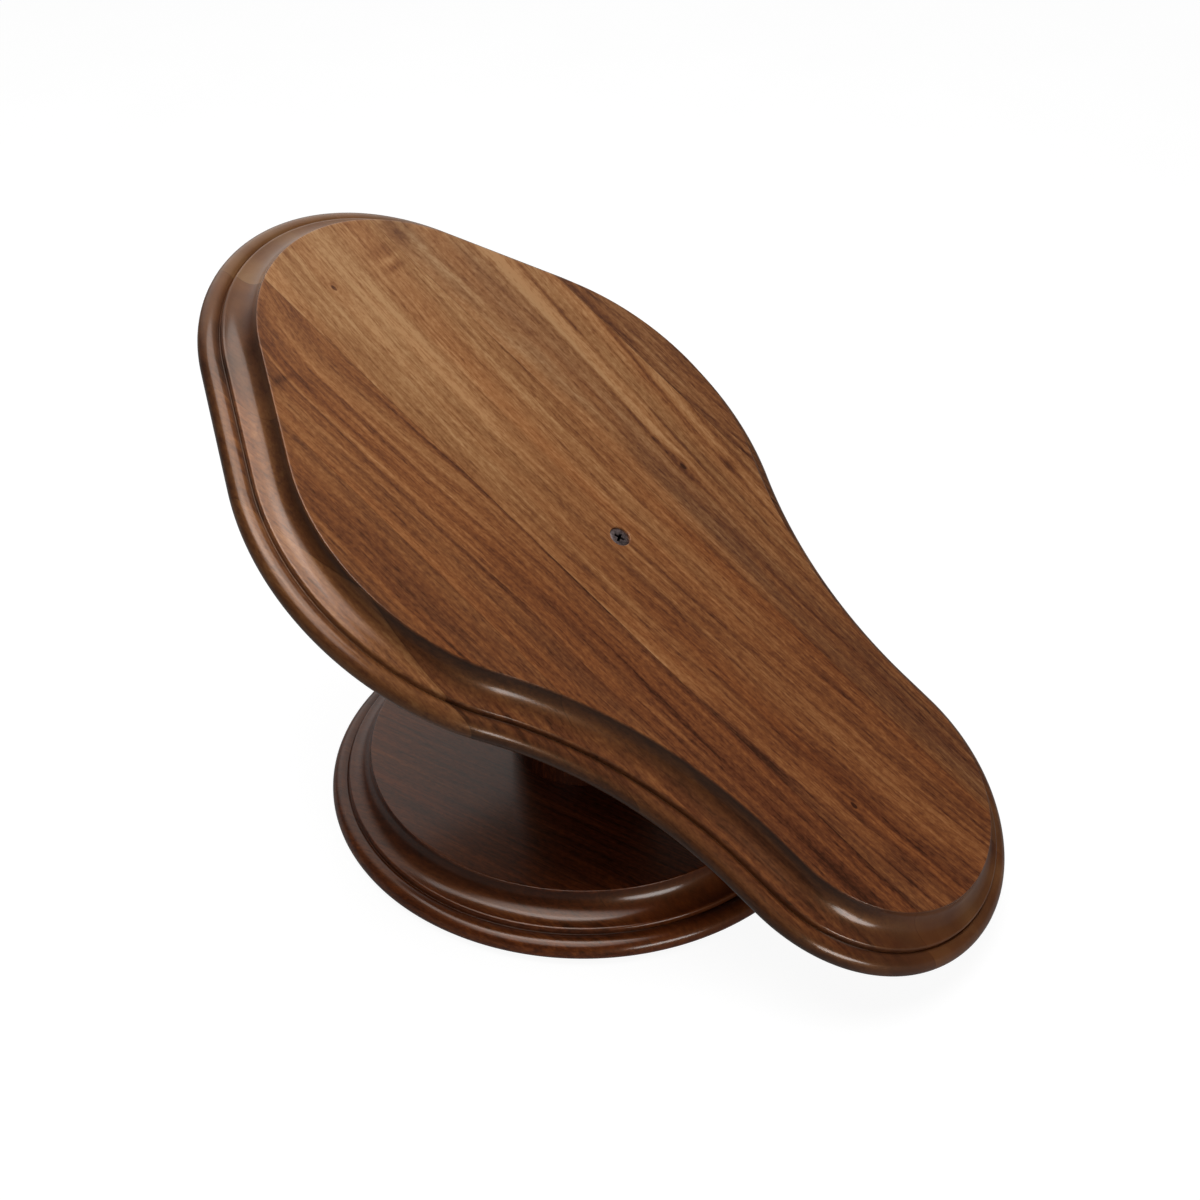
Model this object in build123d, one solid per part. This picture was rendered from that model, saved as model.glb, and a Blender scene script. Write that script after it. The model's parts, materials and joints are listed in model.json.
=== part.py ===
from build123d import *
from math import acos, atan2, cos, degrees, hypot, radians, sin, sqrt
import os

# Tilted pear-shaped display panel on a round pedestal, edge-glued from walnut staves.
# The origin is on the table under the middle of the base, +Z is up and +X runs towards the
# panel's low end. Lengths are in millimetres and angles in degrees.

# Moulded edge, the same on the panel and the base, from the flat face outwards and down
COVE = 12.0              # radius of the hollow beside the flat face
QUIRK = 2.5              # height of the small step under the hollow
LEDGE = 2.5              # width of the flat between the step and the bead
BEAD = 6.0               # radius of the round bead
EASE = 3.5               # radius of the rounded lower edge
ROUND_HANDLE = 4 / 3 * (sqrt(2) - 1)   # handle of a free curve that runs like a quarter circle, per radius

# Panel outline in the plane of the panel
PANEL_WIDTH = 286.0      # across the shoulders
SHOULDER_RADIUS = 132.5  # rounding of the shoulders
SHOULDER_BACK = 51.0     # screw back to the widest place
HEAD_LENGTH = 171.0      # widest place to the high end
HEAD_RADIUS = 102.5      # rounding of the high end
TAIL_REACH = 240.0       # screw to the low end
TAIL_WIDTH = 166.5       # across the tail, whose end is a half circle
TAIL_STRAIGHT = 17.0     # straight sides between the hollow waist and the half circle

# Panel stave widths, from each long edge inwards, with the middle stave taking what is left
PANEL_FRONT_STAVES = (20.5, 33.2, 51.3)
PANEL_BACK_STAVES = (44.3, 62.7)

# Pedestal
BASE_DIAMETER = 254.0
BASE_FRONT_STAVES = (42.0, 57.0)
BASE_BACK_STAVES = (35.0, 52.0)
POST_DIAMETER = 73.0
TILT = 30.8              # slope of the panel
TAIL_CLEARANCE = 11.0    # table to the plane of the underside at the panel's low end
SCREW_DOWNHILL = 9.0     # middle of the post to the screw, down the slope
FELT_THICKNESS = 2.0
FELT_MARGIN = 5.0        # felt edge to the rounded lower edge of the base

# Screws: one through the panel into the post, three through the base into the post
HEAD_DIAMETER = 9.8
HEAD_RIM = 0.5           # height of the straight rim above the countersink
SHANK_DIAMETER = 4.8
POINT_LENGTH = 5.0
RECESS_SPAN = 5.4        # tip to tip of the cross recess
RECESS_WING = 1.3        # width of each wing
RECESS_DEPTH = 2.2
RECESS_TAPER = 8.0
PANEL_SCREW_SINK = 0.8   # head below the flat face
PANEL_SCREW_BITE = 40.0  # length in the post
BASE_SCREW_COUNT = 3
BASE_SCREW_CIRCLE = 40.0
BASE_SCREW_SINK = 6.0    # head above the underside of the base
BASE_SCREW_BITE = 30.0   # length in the post

# Clearances
SWIVEL_GAP = 0.1         # between the panel and the top of the post
RUNNING = 0.08           # radial, round the screw that the panel turns on
POCKET_CLEARANCE = 0.5   # radial, round the base screw heads

# Sizes that follow
thickness = COVE + QUIRK + BEAD + EASE
moulding = COVE + LEDGE + BEAD
base_radius = BASE_DIAMETER / 2
base_top = FELT_THICKNESS + thickness
head_reach = SHOULDER_BACK + HEAD_LENGTH
seat_height = TAIL_CLEARANCE + (SCREW_DOWNHILL + TAIL_REACH) * sin(radians(TILT))
downhill = (cos(radians(TILT)), 0, -sin(radians(TILT)))
facing = (sin(radians(TILT)), 0, cos(radians(TILT)))
seat = Plane(origin=(0, 0, seat_height), x_dir=downhill, z_dir=facing)
screw_point = seat.from_local_coords((SCREW_DOWNHILL, 0, SWIVEL_GAP + thickness))
field = Plane(origin=screw_point, x_dir=downhill, z_dir=facing)
rim_depth = 2 * moulding             # width of the swept edge, flat inner part included
beyond = 2 * (head_reach + TAIL_REACH)   # longer than anything that is cut


def edge_section(edge, inward):
    """Moulded edge on the XZ plane, flat face at z = 0, outermost line at x = edge.

    inward is -1 where the wood lies towards the axis and +1 where it lies away from it.
    """
    def at(distance, depth):
        return (edge + inward * distance, -depth)

    def arc_middle(distance, depth, radius, outwards, upwards):
        reach = radius * sqrt(0.5)
        return at(distance - outwards * reach, depth - upwards * reach)

    lip = LEDGE + BEAD
    bead_top = COVE + QUIRK
    bead_side = bead_top + BEAD
    cove = ThreePointArc(at(moulding, 0), arc_middle(lip, 0, COVE, -1, -1), at(lip, COVE))
    step = Polyline(at(lip, COVE), at(lip, bead_top), at(BEAD, bead_top))
    bead = ThreePointArc(at(BEAD, bead_top), arc_middle(BEAD, bead_side, BEAD, 1, 1), at(0, bead_side))
    handle = ROUND_HANDLE * EASE
    ease = Bezier(
        at(0, bead_side), at(0, bead_side + handle), at(EASE - handle, thickness), at(EASE, thickness)
    )
    back = Polyline(at(EASE, thickness), at(rim_depth, thickness), at(rim_depth, 0), at(moulding, 0))
    outline = [line for curve in (cove, step, bead, ease, back) for line in curve.edges()]
    return Plane.XZ * make_face(outline)


def curved_edge(centre, radius, start, end, inward=-1):
    """Moulded edge round an arc, from the start angle to the end angle."""
    turned = revolve(edge_section(radius, inward), Axis.Z, end - start)
    return Pos(*centre) * Rot(0, 0, start) * turned


def straight_edge(start, end):
    """Moulded edge along a straight run, with the wood on the run's left."""
    heading = degrees(atan2(end[1] - start[1], end[0] - start[0]))
    run = hypot(end[0] - start[0], end[1] - start[1])
    bar = extrude(edge_section(0, -1), amount=run, dir=(0, 1, 0))
    return Pos(*start) * Rot(0, 0, heading - 90) * bar


def on_circle(centre, radius, angle):
    """Point of a circle at an angle."""
    return (centre[0] + radius * cos(radians(angle)), centre[1] + radius * sin(radians(angle)))


def across(point):
    """The same point on the other long side."""
    return (point[0], -point[1])


def cut_staves(board, half_width, front, back):
    """Boards between the glue lines, from the front (-Y) to the back."""
    front_lines = [-half_width + sum(front[: i + 1]) for i in range(len(front))]
    back_lines = [half_width - sum(back[: i + 1]) for i in range(len(back))]
    lines = [-beyond, *front_lines, *reversed(back_lines), beyond]
    staves = []
    for low, high in zip(lines, lines[1:]):
        slab = Pos(0, (low + high) / 2, 0) * Box(beyond, high - low, beyond)
        staves.append(board & slab)
    return staves


def screw_blank(length):
    """Countersunk screw before its recess is struck, top of the head at z = 0, point downwards."""
    head = HEAD_DIAMETER / 2
    shank = SHANK_DIAMETER / 2
    neck = HEAD_RIM + head - shank
    top = [(0, 0), (head, 0), (head, -HEAD_RIM), (shank, -neck)]
    point = [(shank, POINT_LENGTH - length), (0, -length)]
    outline = Polyline(*top, *point, close=True)
    return revolve(Plane.XZ * make_face(outline.edges()), Axis.Z)


def cross_recess():
    """Tapered cross in the top of a screw head at z = 0."""
    cross = Rectangle(RECESS_SPAN, RECESS_WING) + Rectangle(RECESS_WING, RECESS_SPAN)
    return extrude(cross, amount=-RECESS_DEPTH, taper=RECESS_TAPER)


def screw_hole(depth):
    """Countersunk running hole for a screw whose head lies at z = 0, open above it."""
    head = HEAD_DIAMETER / 2 + RUNNING
    shank = SHANK_DIAMETER / 2 + RUNNING
    neck = HEAD_RIM + head - shank
    mouth = [(0, thickness), (head, thickness), (head, -HEAD_RIM)]
    bore = [(shank, -neck), (shank, -depth), (0, -depth)]
    outline = Polyline(*mouth, *bore, close=True)
    return revolve(Plane.XZ * make_face(outline.edges()), Axis.Z)


def panel_board():
    """The glued and moulded panel lying flat, screw hole at the origin, flat face at z = 0."""
    tail_half = TAIL_WIDTH / 2
    head = (HEAD_RADIUS - head_reach, 0)
    shoulder = (-SHOULDER_BACK, PANEL_WIDTH / 2 - SHOULDER_RADIUS)
    tail = (TAIL_REACH - tail_half, 0)
    waist_x = tail[0] - TAIL_STRAIGHT

    # The waist touches the shoulder and runs out along the straight side of the tail.
    reach = waist_x - shoulder[0]
    rise = tail_half - shoulder[1]
    waist_radius = (reach**2 + rise**2 - SHOULDER_RADIUS**2) / (2 * (SHOULDER_RADIUS - rise))
    waist = (waist_x, tail_half + waist_radius)
    waist_angle = degrees(atan2(waist[1] - shoulder[1], reach))

    # A straight side touches the head and the shoulder.
    apart = (shoulder[0] - head[0], shoulder[1])
    lean = acos((HEAD_RADIUS - SHOULDER_RADIUS) / hypot(*apart))
    side_angle = degrees(atan2(apart[1], apart[0]) + lean)
    side_low = on_circle(head, HEAD_RADIUS, side_angle)
    side_high = on_circle(shoulder, SHOULDER_RADIUS, side_angle)
    tail_start = (waist_x, tail_half)
    tail_end = (tail[0], tail_half)

    edges = [
        curved_edge(head, HEAD_RADIUS, side_angle, 360 - side_angle),
        curved_edge(shoulder, SHOULDER_RADIUS, waist_angle, side_angle),
        curved_edge(across(shoulder), SHOULDER_RADIUS, -side_angle, -waist_angle),
        curved_edge(waist, waist_radius, 180 + waist_angle, 270, inward=1),
        curved_edge(across(waist), waist_radius, 90, 180 - waist_angle, inward=1),
        curved_edge(tail, tail_half, -90, 90),
        straight_edge(side_high, side_low),
        straight_edge(across(side_low), across(side_high)),
        straight_edge(tail_end, tail_start),
        straight_edge(across(tail_start), across(tail_end)),
    ]

    # The flat middle has the same outline, set in by the width of the swept edge.
    head_in = HEAD_RADIUS - rim_depth
    shoulder_in = SHOULDER_RADIUS - rim_depth
    waist_in = waist_radius + rim_depth
    tail_in = tail_half - rim_depth
    side = (on_circle(head, head_in, side_angle), on_circle(shoulder, shoulder_in, side_angle))
    bend = on_circle(shoulder, shoulder_in, waist_angle)
    waist_middle = on_circle(waist, waist_in, 225 + waist_angle / 2)
    shoulder_middle = on_circle(shoulder, shoulder_in, (side_angle + waist_angle) / 2)
    flat = ((waist_x, tail_in), (tail[0], tail_in))
    upper = [
        Line(*side),
        ThreePointArc(side[1], shoulder_middle, bend),
        ThreePointArc(bend, waist_middle, flat[0]),
        Line(*flat),
    ]
    lower = [mirror(curve, about=Plane.XZ) for curve in upper]
    head_arc = ThreePointArc(side[0], (head[0] - head_in, 0), across(side[0]))
    tail_arc = ThreePointArc(flat[1], (tail[0] + tail_in, 0), across(flat[1]))
    outline = [edge for curve in (*upper, *lower, head_arc, tail_arc) for edge in curve.edges()]
    middle = extrude(make_face(outline), amount=-thickness)
    return middle + edges - Pos(0, 0, -PANEL_SCREW_SINK) * screw_hole(2 * thickness)


def base_board():
    """The glued and moulded base disc in place."""
    rim = curved_edge((0, 0), base_radius, 0, 360)
    middle = extrude(Circle(base_radius - rim_depth), amount=-thickness)
    return Pos(0, 0, base_top) * (middle + rim)


def under_base(shape):
    """Copies of a shape at the base screws, turned to point upwards from the sunk heads."""
    turned = Pos(0, 0, FELT_THICKNESS + BASE_SCREW_SINK) * Rot(180, 0, 0) * shape
    return [place * turned for place in PolarLocations(BASE_SCREW_CIRCLE / 2, BASE_SCREW_COUNT)]


def head_pockets():
    """Pockets in the underside of the base, below the screw heads."""
    pocket = extrude(Circle(HEAD_DIAMETER / 2 + POCKET_CLEARANCE), amount=BASE_SCREW_SINK + HEAD_RIM)
    places = PolarLocations(BASE_SCREW_CIRCLE / 2, BASE_SCREW_COUNT)
    return [Pos(0, 0, FELT_THICKNESS) * place * pocket for place in places]


panel_screw_place = field.offset(-PANEL_SCREW_SINK).location
panel_screw_blank = screw_blank(thickness - PANEL_SCREW_SINK + SWIVEL_GAP + PANEL_SCREW_BITE)
panel_screw = panel_screw_place * (panel_screw_blank - cross_recess())
base_screw_blank = screw_blank(thickness - BASE_SCREW_SINK + BASE_SCREW_BITE)
base_screw_holes = under_base(base_screw_blank)
base_screws = under_base(base_screw_blank - cross_recess())

panel_staves = cut_staves(panel_board(), PANEL_WIDTH / 2, PANEL_FRONT_STAVES, PANEL_BACK_STAVES)
base_staves = cut_staves(
    base_board() - base_screw_holes - head_pockets(), base_radius, BASE_FRONT_STAVES, BASE_BACK_STAVES
)

post_blank = Pos(0, 0, base_top) * extrude(Circle(POST_DIAMETER / 2), amount=seat_height + POST_DIAMETER)
post_round = split(post_blank, bisect_by=seat, keep=Keep.BOTTOM)
post = post_round - panel_screw_place * panel_screw_blank - base_screw_holes

base_felt = extrude(Circle(base_radius - EASE - FELT_MARGIN), amount=FELT_THICKNESS)

nodes = {"post": post, "panel_screw": panel_screw, "base_felt": base_felt}
nodes["base_screws"] = Compound(children=base_screws)
for number, stave in enumerate(panel_staves, start=1):
    nodes[f"panel_stave_{number}"] = field.location * stave
for number, stave in enumerate(base_staves, start=1):
    nodes[f"base_stave_{number}"] = stave

os.makedirs("parts", exist_ok=True)
for name, shape in nodes.items():
    export_step(shape, f"parts/{name}.step")
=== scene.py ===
"""Walnut display stand: a tilted pear-shaped panel that turns on a round, moulded pedestal."""
import json
from math import acos, asin, atan2, ceil, cos, hypot, pi, radians, sin, tan

import bmesh
import bpy
from mathutils import Matrix, Vector


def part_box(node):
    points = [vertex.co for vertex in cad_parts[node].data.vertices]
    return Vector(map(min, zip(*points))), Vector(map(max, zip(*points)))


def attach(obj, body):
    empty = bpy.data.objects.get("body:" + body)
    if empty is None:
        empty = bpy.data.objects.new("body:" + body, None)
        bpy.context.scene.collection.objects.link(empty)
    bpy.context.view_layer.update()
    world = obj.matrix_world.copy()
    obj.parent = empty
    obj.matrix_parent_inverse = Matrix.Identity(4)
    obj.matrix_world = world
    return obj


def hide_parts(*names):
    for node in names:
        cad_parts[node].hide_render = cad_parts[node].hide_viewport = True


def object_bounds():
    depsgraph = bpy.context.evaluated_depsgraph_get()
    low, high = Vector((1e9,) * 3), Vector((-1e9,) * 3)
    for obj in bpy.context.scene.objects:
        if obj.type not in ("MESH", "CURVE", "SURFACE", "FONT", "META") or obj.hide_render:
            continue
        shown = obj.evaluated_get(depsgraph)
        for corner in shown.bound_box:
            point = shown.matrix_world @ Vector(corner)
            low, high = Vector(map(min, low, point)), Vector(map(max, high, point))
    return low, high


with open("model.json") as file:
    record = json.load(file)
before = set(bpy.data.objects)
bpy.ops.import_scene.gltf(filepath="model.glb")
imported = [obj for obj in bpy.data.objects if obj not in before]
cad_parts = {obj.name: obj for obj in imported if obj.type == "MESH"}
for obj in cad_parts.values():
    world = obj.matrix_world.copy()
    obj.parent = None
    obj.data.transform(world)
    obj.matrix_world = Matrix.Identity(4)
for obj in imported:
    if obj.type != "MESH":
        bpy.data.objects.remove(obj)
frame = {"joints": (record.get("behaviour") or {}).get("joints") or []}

bl_info = {
    "name": "Walnut Display Stand",
    "version": (1, 0, 0),
    "blender": (4, 5, 0),
    "location": "View3D > Sidebar > Stand",
    "description": "Builds a tilted walnut display panel on a round moulded pedestal",
    "category": "Object",
}

MM = 0.001
PANEL_STAVES = [f"panel_stave_{i}" for i in range(1, 7)]
BASE_STAVES = [f"base_stave_{i}" for i in range(1, 6)]

# Facets round the turned pieces and the holes
SCREW_SIDES = 64
PANEL_HOLE_SIDES = 72
BORE_SIDES = 48
POST_SIDES = 192
FELT_SIDES = 240
POST_RINGS = (1.0, 0.7, 0.35, 0.02, 0.0)  # heights of the post's rings as shares of its length

# Facets of each run of the moulded edge
HOLLOW_STEPS, ARRIS_STEPS, LIP_STEPS, RISE_STEPS, BEAD_STEPS, EASE_STEPS = 16, 4, 5, 4, 10, 6

# Tolerances
SAME_WAY = 0.9999            # cosine between two directions that count as one
SAME_LEVEL = 0.02 * MM
SAME_POINT = 0.001 * MM

# Small forms that no setting changes
FLAT_MARGIN = 1.5 * MM       # flat run that the swept edge takes along, above and below
GROOVE_FLOOR = 0.3 * MM      # width of the floor of the groove beside the bead
STAIN_SHADE_START = 0.2 * MM       # height above the groove from which staining and painted shade gather in it
SOFT_RIM = 0.25 * MM         # rounding of the screw heads and of the panel's hole
SOFT_STEPS = ((1.0, 0.0), (0.3, 0.3), (0.0, 1.0))  # points round such a rim, across and down
TIP_RADIUS = 0.3 * MM        # blunt tip of a screw
TIP_LENGTH = 0.4 * MM
RECESS_FLOOR_SPAN = 0.55     # floor of a cross recess against its mouth
RECESS_FLOOR_WING = 0.6
RECESS_TURN = radians(20)    # turn of the panel screw's recess
FELT_HUB = 30 * MM           # inner ring of the felt's faces
FELT_SOFT = 1.2 * MM         # start of the felt's rounded edge
FELT_SHOULDER = (0.3 * MM, 0.4 * MM)  # middle point of that edge, inwards and down
CREASE = radians(35)         # edges sharper than this stay sharp
FLAT_POINTS = 3              # last point of the edge's profile that shows the grain of the flat face
PANEL_LOW_SHADE = 0.85       # painted shade on the lowest, downward-facing part of the edge, on the panel; none on the base
BASE_LOW_SHADE = 0.0

# Places that come from the frame
cad_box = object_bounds()
swivel = frame["joints"][0]
facing = Vector(swivel["axis"])
across = Vector((0, 1, 0))
downhill = across.cross(facing)
screw_point = Vector(swivel["pos_m"])
tilt = atan2(facing.x, facing.z)
base_low, base_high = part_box("base_stave_3")
post_low, post_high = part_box("post")
felt_low, felt_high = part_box("base_felt")
screws_low, screws_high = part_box("base_screws")


def axes_matrix(origin, x_axis, y_axis, z_axis):
    """Frame with these axes at this origin."""
    turned = Matrix((x_axis, y_axis, z_axis)).transposed().to_4x4()
    return Matrix.Translation(origin) @ turned


def panel_frame(origin):
    """Frame in the slope of the panel: X downhill, Z out of its face."""
    return axes_matrix(origin, downhill, across, facing)


def under_frame(height):
    """Frame of a level face that is seen from below."""
    return axes_matrix((0, 0, height), Vector((1, 0, 0)), Vector((0, -1, 0)), Vector((0, 0, -1)))


def length(name, description, default):
    """Length property in metres, given in millimetres."""
    return bpy.props.FloatProperty(
        name=name, description=description, default=default * MM, unit="LENGTH", precision=5
    )


def angle(name, description, default):
    """Angle property, given in degrees."""
    return bpy.props.FloatProperty(
        name=name, description=description, default=radians(default), subtype="ANGLE", unit="ROTATION"
    )


def colour(name, description, default):
    """Colour property."""
    return bpy.props.FloatVectorProperty(
        name=name, description=description, default=default, subtype="COLOR", size=3, min=0, max=1
    )


def power(name, description, default):
    """Lamp power property in watts."""
    return bpy.props.FloatProperty(name=name, description=description, default=default, unit="POWER")


class MouldedEdge(bpy.types.PropertyGroup):
    """The edge of the panel and the base, from the flat face outwards and down."""

    cove: length("Cove", "Radius of the hollow beside the flat face", 12.0)
    quirk: length("Quirk", "Height of the small step under the hollow", 2.5)
    ledge: length("Ledge", "Width of the flat between the step and the bead", 2.5)
    bead: length("Bead", "Radius of the round bead", 6.0)
    ease: length("Ease", "Radius of the rounded lower edge", 3.5)
    arris: length("Arris", "Rounding that sanding leaves on the edge of the flat face", 0.45)
    lip: length("Lip", "Rounding that sanding leaves on the edge over the step", 1.4)
    groove: length("Groove", "Depth of the dark groove between the step and the bead", 0.9)
    step: length("Step", "Distance between the points along the edge", 1.2)


class PanelOutline(bpy.types.PropertyGroup):
    """The outline of the panel in its own plane."""

    width: length("Width", "Across the shoulders", 286.0)
    shoulder_radius: length("Shoulder Radius", "Rounding of the shoulders", 132.5)
    shoulder_back: length("Shoulder Back", "Screw back to the widest place", 51.0)
    head_length: length("Head Length", "Widest place to the high end", 171.0)
    head_radius: length("Head Radius", "Rounding of the high end", 102.5)
    tail_reach: length("Tail Reach", "Screw to the low end", 240.0)
    tail_width: length("Tail Width", "Across the tail", 166.5)
    tail_straight: length("Tail Straight", "Straight sides between the waist and the low end", 17.0)


class ScrewSizes(bpy.types.PropertyGroup):
    """The wood screws and the holes they sit in."""

    head: length("Head", "Diameter of the head", 9.8)
    rim: length("Rim", "Height of the straight rim above the countersink", 0.5)
    shank: length("Shank", "Diameter of the shank", 4.8)
    point: length("Point", "Length of the point", 5.0)
    recess: length("Recess", "Tip to tip of the cross recess", 5.4)
    wing: length("Wing", "Width of each wing of the recess", 1.3)
    depth: length("Depth", "Depth of the recess", 2.2)
    sink: length("Sink", "Head of the panel screw below the flat face", 0.8)
    running: length("Running", "Gap round the screw that the panel turns on", 0.08)
    pocket: length("Pocket", "Gap round the heads under the base", 0.5)
    circle: length("Circle", "Diameter of the circle of base screws", 40.0)
    count: bpy.props.IntProperty(name="Count", description="Screws under the base", default=3, min=1)


class WalnutTones(bpy.types.PropertyGroup):
    """Colours of the lacquered walnut, from the dark lines to the pale streaks."""

    vein: colour("Vein", "Darkest lines", (0.036, 0.012, 0.006))
    heart: colour("Heart", "Dark brown of the heartwood", (0.122, 0.043, 0.019))
    body: colour("Body", "Middle brown", (0.238, 0.094, 0.034))
    gold: colour("Gold", "Golden brown of the pale streaks", (0.365, 0.172, 0.067))
    pale: colour("Pale", "Palest streaks", (0.50, 0.275, 0.124))


class StageSettings(bpy.types.PropertyGroup):
    """Camera, lamps and surroundings."""

    azimuth: angle("Azimuth", "Camera round the stand from the front", 33.47)
    elevation: angle("Elevation", "Camera above the horizon", 36.43)
    distance: length("Distance", "Camera to the point it looks at", 801.75)
    target: bpy.props.FloatVectorProperty(
        name="Target", description="Point that the camera looks at",
        default=(0.00911, 0.0, 0.11431), subtype="TRANSLATION", unit="LENGTH",
    )
    lens: bpy.props.FloatProperty(
        name="Lens", description="Focal length on a 36 mm wide sensor", default=51.41, unit="CAMERA"
    )
    overhead: power("Overhead", "Large lamp above the stand", 10.8)
    window: power("Window", "Low soft lamp in front", 7.2)
    ambient: bpy.props.FloatProperty(
        name="Ambient", default=0.04,
        description="Strength of the surroundings as light, away from the backdrop",
    )


class StandSettings(bpy.types.PropertyGroup):
    """Everything that can be changed about the stand."""

    edge: bpy.props.PointerProperty(type=MouldedEdge)
    outline: bpy.props.PointerProperty(type=PanelOutline)
    screws: bpy.props.PointerProperty(type=ScrewSizes)
    tones: bpy.props.PointerProperty(type=WalnutTones)
    stage: bpy.props.PointerProperty(type=StageSettings)


# Outlines and profiles, as plain points


def arc_points(centre, radius, start, end, step):
    """Points along an arc, its last one left out."""
    count = max(2, ceil(abs(end - start) * radius / step))
    turns = [start + (end - start) * i / count for i in range(count)]
    return [(centre[0] + radius * cos(t), centre[1] + radius * sin(t)) for t in turns]


def line_points(start, end, step):
    """Points along a straight run, its last one left out."""
    count = max(1, ceil(hypot(end[0] - start[0], end[1] - start[1]) / step))
    return [
        (start[0] + (end[0] - start[0]) * i / count, start[1] + (end[1] - start[1]) * i / count)
        for i in range(count)
    ]


def pear_outline(sizes, step):
    """Points round the panel, anticlockwise seen from above, screw at the origin."""
    tail_half = sizes.tail_width / 2
    head_x = sizes.head_radius - sizes.shoulder_back - sizes.head_length
    shoulder = (-sizes.shoulder_back, sizes.width / 2 - sizes.shoulder_radius)
    tail_x = sizes.tail_reach - tail_half
    waist_x = tail_x - sizes.tail_straight
    reach = waist_x - shoulder[0]
    rise = tail_half - shoulder[1]
    shoulder_radius = sizes.shoulder_radius
    waist_radius = (reach**2 + rise**2 - shoulder_radius**2) / (2 * (shoulder_radius - rise))
    waist = (waist_x, tail_half + waist_radius)
    waist_turn = atan2(waist[1] - shoulder[1], reach)
    apart = (shoulder[0] - head_x, shoulder[1])
    side_turn = atan2(apart[1], apart[0]) + acos((sizes.head_radius - shoulder_radius) / hypot(*apart))
    side_start = (
        shoulder[0] + shoulder_radius * cos(side_turn), shoulder[1] + shoulder_radius * sin(side_turn)
    )
    side_end = (head_x + sizes.head_radius * cos(side_turn), sizes.head_radius * sin(side_turn))

    back = [
        *arc_points((tail_x, 0), tail_half, 0, pi / 2, step),
        *line_points((tail_x, tail_half), (waist_x, tail_half), step),
        *arc_points(waist, waist_radius, 3 * pi / 2, pi + waist_turn, step),
        *arc_points(shoulder, shoulder_radius, waist_turn, side_turn, step),
        *line_points(side_start, side_end, step),
        *arc_points((head_x, 0), sizes.head_radius, side_turn, pi, step),
    ]
    front = [(x, -y) for x, y in reversed(back[1:])]
    return back + [(head_x - sizes.head_radius, 0)] + front


def stained_arc(middle, radius, start, end, count, stain):
    """Points along an arc, with the staining and painted shade they carry going from the first share to the
    second.
    """
    points = []
    for i in range(count + 1):
        turn = start + (end - start) * (i / count)
        held = stain[0] + (stain[1] - stain[0]) * (i / count)
        points.append((middle[0] + radius * cos(turn), middle[1] + radius * sin(turn), held))
    return points


def edge_profile(edge, low_shade):
    """Points down the moulded edge: (inwards from the outermost line, below the flat face, staining with
    painted shade).
    """
    lip = edge.ledge + edge.bead
    moulding = lip + edge.cove
    bead_top = edge.cove + edge.quirk
    bead_side = bead_top + edge.bead
    groove_foot = bead_top + edge.groove
    foot = bead_side + edge.ease
    arris, soft = edge.arris, edge.lip
    bead_middle = (edge.bead, bead_side)
    turned_in = asin((edge.ledge - 2 * GROOVE_FLOOR) / edge.bead)

    # Staining held at the two ends of each run, and in the groove; the dark top of the hollow and the groove
    # are partly painted shade
    hollow_stain_shade, arris_stain, lip_stain = (1.0, 0.05), (0.0, 0.3), (0.0, 0.4)
    step_stain_shade, groove_stain_shade, bead_stain_shade, foot_stain = 0.7, 0.8, (0.7, 0.25), 0.3
    side_shade, ease_shade = (bead_stain_shade[1], low_shade), (low_shade, low_shade)

    hollow_ends = (arris / edge.cove, pi / 2 - soft / edge.cove)
    hollow = stained_arc((lip, 0), edge.cove, *hollow_ends, HOLLOW_STEPS, hollow_stain_shade)
    arris_middle = (hollow[0][0] + arris, arris)
    lip_middle = (lip + soft, hollow[-1][1] + soft)
    return [
        (moulding + FLAT_MARGIN, 0, 0.0),
        *stained_arc(arris_middle, arris, -pi / 2, -pi, ARRIS_STEPS, arris_stain),
        *hollow[1:],
        *stained_arc(lip_middle, soft, -pi / 2, -pi, LIP_STEPS, lip_stain)[1:],
        (lip, bead_top - STAIN_SHADE_START, step_stain_shade),
        (lip, groove_foot, groove_stain_shade),
        (lip - GROOVE_FLOOR, groove_foot, groove_stain_shade),
        *stained_arc(bead_middle, edge.bead, turned_in - pi / 2, -pi / 2, RISE_STEPS, bead_stain_shade),
        *stained_arc(bead_middle, edge.bead, -pi / 2, -pi, BEAD_STEPS, side_shade)[1:],
        *stained_arc((edge.ease, bead_side), edge.ease, pi, pi / 2, EASE_STEPS, ease_shade)[1:],
        (edge.ease + FLAT_MARGIN, foot, foot_stain),
    ]


# Objects and meshes


def new_object(name, data):
    """Object in the scene."""
    made = bpy.data.objects.new(name, data)
    bpy.context.scene.collection.objects.link(made)
    return made


def mesh_of(solid, name):
    """Mesh of a solid, which ends with it."""
    mesh = bpy.data.meshes.new(name)
    solid.to_mesh(mesh)
    solid.free()
    return mesh


# Geometry Nodes


def new_tree(name, **inputs):
    """Empty node tree with these named inputs and one geometry output."""
    tree = bpy.data.node_groups.new(name, "GeometryNodeTree")
    for label, kind in inputs.items():
        tree.interface.new_socket(label, in_out="INPUT", socket_type="NodeSocket" + kind)
    tree.interface.new_socket("Geometry", in_out="OUTPUT", socket_type="NodeSocketGeometry")
    return tree


def wire(tree, *links):
    """Links given as (node, its output, node, its input)."""
    for source, output, goal, socket in links:
        tree.links.new(source.outputs[output], goal.inputs[socket])


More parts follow.
